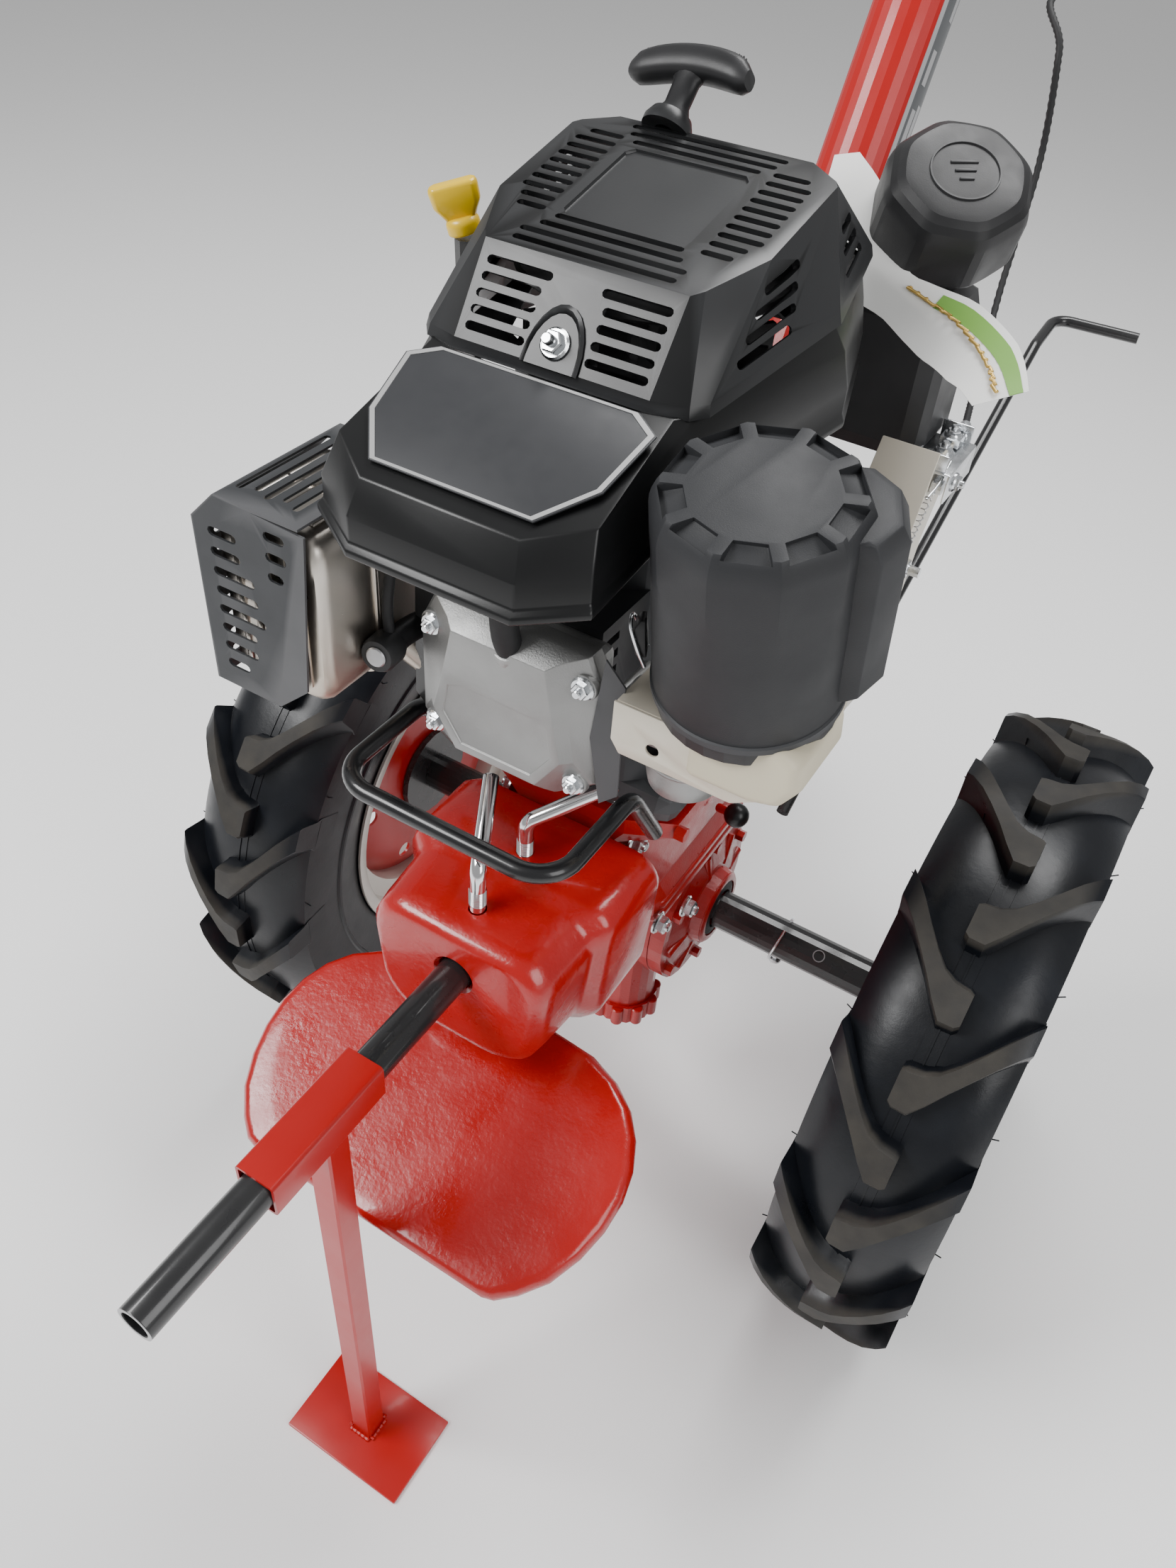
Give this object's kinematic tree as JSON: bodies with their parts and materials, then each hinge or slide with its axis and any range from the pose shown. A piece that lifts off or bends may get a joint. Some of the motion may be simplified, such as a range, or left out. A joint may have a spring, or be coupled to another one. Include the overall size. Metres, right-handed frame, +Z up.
{
  "type": "walk-behind tiller",
  "caption": "Two-wheel walk-behind tiller tractor with an upright engine, worm gearbox, raked handle column, cast front weight and a prop stand on a sliding bar.",
  "frame": {"origin": "middle of the footprint box, on the ground", "axes": "+Z up; -Y is the way the machine drives, towards the stand; +X is the operator's left side, along the axle"},
  "size_m": [0.729, 1.5063, 1.0685],
  "materials": {
    "red_paint": "gloss",
    "red_cast": "hammered gloss over casting",
    "black_paint": "satin",
    "black_plastic": "satin",
    "grey_plastic": "matte",
    "rubber": "matte",
    "zinc": "bright zinc plated",
    "steel": "satin",
    "aluminium": "as cast",
    "cream_steel": "satin",
    "bronze": "machined",
    "filter_paper": "pleated paper",
    "tag_paper": "matte",
    "yellow_plastic": "gloss"
  },
  "bodies": {
    "chassis": {"axle_bearing_left": "steel", "axle_bearing_right": "steel", "badge_plate": "grey_plastic", "blower_housing": "black_plastic", "carburettor": "aluminium", "control_plate": "cream_steel", "cylinder_head": "black_paint", "dipstick_tube": "black_plastic", "engine_block": "black_paint", "fan_guard": "black_plastic", "filter_base": "grey_plastic", "filter_bracket": "cream_steel", "filter_element": "filter_paper", "fuel_tank": "black_plastic", "gearbox_case": "red_cast", "gearbox_cover": "red_cast", "grip_left": "rubber", "grip_right": "rubber", "guard_bar": "black_paint", "guard_nut": "zinc", "handle_column": "red_paint", "handlebar": "black_paint", "hang_tag": "tag_paper", "muffler": "steel", "muffler_shield": "grey_plastic", "plug_boot": "rubber", "rocker_cover": "aluminium", "spark_plug": "steel", "throttle_cable": "black_plastic", "transfer_case": "red_cast", "weight_block": "red_cast", "weight_plate": "red_cast"},
    "axle_set": {"tyre_left": "rubber", "tyre_right": "rubber", "wheel_rim_left": "red_paint", "wheel_rim_right": "red_paint", "axle_hub_left": "black_paint", "axle_hub_right": "black_paint", "axle_shaft": "steel", "axle_pin_left": "zinc", "axle_pin_right": "zinc", "worm_wheel": "bronze"},
    "worm": {"worm_shaft": "steel"},
    "input": {"input_shaft": "steel"},
    "crank": {"crankshaft": "steel", "flywheel_fan": "aluminium"},
    "starter": {"starter_grip": "black_plastic"},
    "oil_dipstick": {"dipstick": "yellow_plastic"},
    "filler_cap": {"fuel_cap": "black_plastic"},
    "filter_lid": {"filter_cover": "grey_plastic"},
    "lid_latch": {"filter_latch": "steel"},
    "throttle_hand_lever": {"throttle_lever": "black_paint"},
    "carburettor_arm": {"throttle_arm": "zinc"},
    "clutch_hand_lever": {"clutch_lever": "black_paint"},
    "front_bar": {"weight_bar": "black_paint"},
    "prop_stand": {"stand": "red_paint"},
    "front_clamp": {"clamp_screw_front": "zinc"},
    "rear_clamp": {"clamp_screw_rear": "zinc"},
    "selector_rod": {"shift_rod": "black_paint"},
    "selector_knob": {"gear_knob": "red_paint"}
  },
  "joints": [
    {"name": "axle_spin", "type": "hinge", "parent": "chassis", "child": "axle_set", "pos_m": [0, -0.1162, 0.2906], "axis": [1, 0, 0], "continuous": true},
    {"name": "worm_spin", "type": "hinge", "parent": "chassis", "child": "worm", "pos_m": [0, -0.1742, 0.29], "axis": [0, 0, 1], "continuous": true},
    {"name": "input_spin", "type": "hinge", "parent": "chassis", "child": "input", "pos_m": [0, -0.2662, 0.475], "axis": [0, 0, 1], "continuous": true},
    {"name": "crank_spin", "type": "hinge", "parent": "chassis", "child": "crank", "pos_m": [0, -0.2662, 0.8], "axis": [0, 0, 1], "continuous": true},
    {"name": "starter_pull", "type": "slide", "parent": "chassis", "child": "starter", "axis": [0, 0, 1], "range_m": [0, 0.35]},
    {"name": "dipstick_pull", "type": "slide", "parent": "chassis", "child": "oil_dipstick", "axis": [-0.253, -0.159, 0.9543], "range_m": [0, 0.2]},
    {"name": "cap_turn", "type": "hinge", "parent": "chassis", "child": "filler_cap", "pos_m": [0.1153, -0.1016, 0.97], "axis": [0.2501, -0.4501, 0.8572], "range_deg": [0, 90]},
    {"name": "filter_lid_lift", "type": "slide", "parent": "chassis", "child": "filter_lid", "axis": [0, -0.225, 0.9744], "range_m": [0, 0.14]},
    {"name": "latch_swing", "type": "hinge", "parent": "chassis", "child": "lid_latch", "pos_m": [0.0845, -0.4062, 0.78], "axis": [1, 0, 0], "range_deg": [0, 80]},
    {"name": "throttle_lever_pull", "type": "hinge", "parent": "chassis", "child": "throttle_hand_lever", "pos_m": [0.2505, 0.5738, 1.026], "axis": [1, 0, 0], "range_deg": [0, 9]},
    {"name": "throttle_arm_swing", "type": "hinge", "parent": "chassis", "child": "carburettor_arm", "pos_m": [0.1514, -0.1202, 0.783], "axis": [1, 0, 0], "range_deg": [-18, 0]},
    {"name": "clutch_lever_pull", "type": "hinge", "parent": "chassis", "child": "clutch_hand_lever", "pos_m": [-0.2505, 0.5738, 1.026], "axis": [1, 0, 0], "range_deg": [0, 9], "stiffness_Nm_per_rad": 3, "springref_deg": -11.46},
    {"name": "bar_slide", "type": "slide", "parent": "chassis", "child": "front_bar", "axis": [0, 1, 0], "range_m": [-0.06, 0]},
    {"name": "stand_slide", "type": "slide", "parent": "front_bar", "child": "prop_stand", "axis": [0, 1, 0], "range_m": [-0.08, 0]},
    {"name": "front_clamp_turn", "type": "hinge", "parent": "chassis", "child": "front_clamp", "pos_m": [0, -0.4352, 0.546], "axis": [0, 0, 1], "range_deg": [0, 60]},
    {"name": "rear_clamp_turn", "type": "hinge", "parent": "chassis", "child": "rear_clamp", "pos_m": [0, -0.3772, 0.546], "axis": [0, 0, 1], "range_deg": [-80, 0]},
    {"name": "selector_rod_slide", "type": "slide", "parent": "chassis", "child": "selector_rod", "axis": [0, 0.8997, 0.4366], "range_m": [-0.02, 0.02]},
    {"name": "selector_knob_pull", "type": "slide", "parent": "chassis", "child": "selector_knob", "axis": [0.8165, -0.4082, 0.4082], "range_m": [0, 0.012]}
  ],
  "couplings": [
    {"joint": "worm_spin", "follows": "axle_spin", "ratio": 24},
    {"joint": "input_spin", "follows": "axle_spin", "ratio": -24},
    {"joint": "throttle_arm_swing", "follows": "throttle_lever_pull", "ratio": -2}
  ]
}
